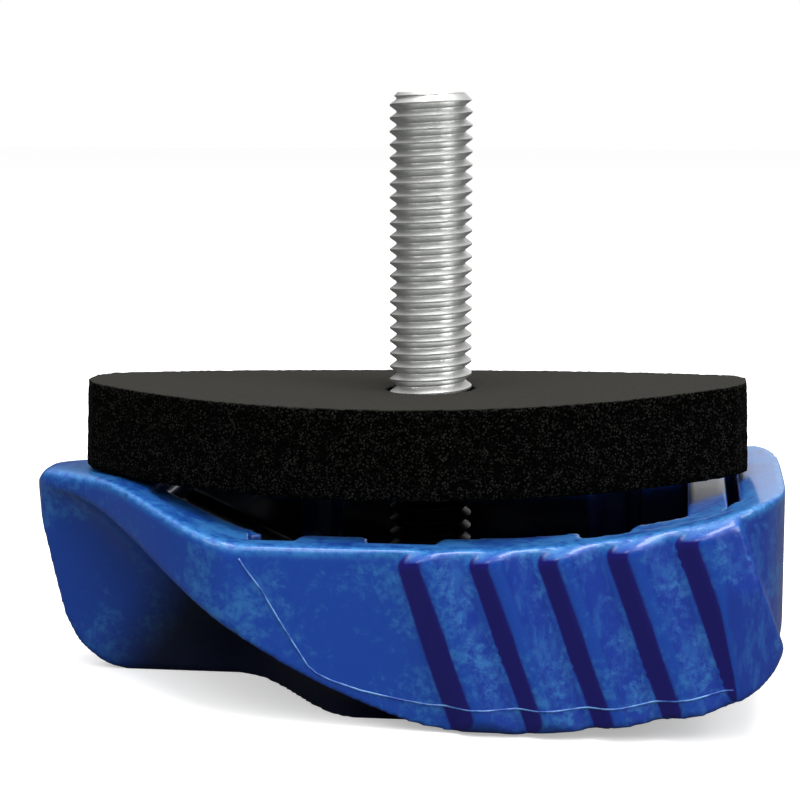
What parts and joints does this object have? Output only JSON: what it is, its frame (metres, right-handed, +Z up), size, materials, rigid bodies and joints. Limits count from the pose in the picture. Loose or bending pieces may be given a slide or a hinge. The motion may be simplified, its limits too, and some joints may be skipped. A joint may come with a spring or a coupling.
{
  "type": "padded clamp foot with stud",
  "caption": "Moulded clamp foot with slanted grip ribs, finger scoops, a threaded steel stud and a slip-on foam pad, used to clamp an aid to a bath or seat.",
  "frame": {"origin": "on the stud's axis, in the plane of the moulding's flat foot", "axes": "+Z up along the stud, +X towards the full, rounded end, -X towards the raised tip, -Y and +Y out of the two ribbed walls"},
  "size_m": [0.073, 0.0414, 0.057],
  "materials": {
    "blue_plastic": "semi-gloss moulded, light scuffs",
    "zinc_steel": "zinc plated, satin",
    "black_foam": "closed-cell foam, matte, cut edges"
  },
  "bodies": {
    "grip": {"grip_body": "blue_plastic", "clamp_bolt": "zinc_steel"},
    "pad": {"foam_pad": "black_foam"}
  },
  "joints": [
    {"name": "pad_lift", "type": "slide", "parent": "grip", "child": "pad", "axis": [0, 0, 1], "range_m": [0, 0.04]}
  ]
}
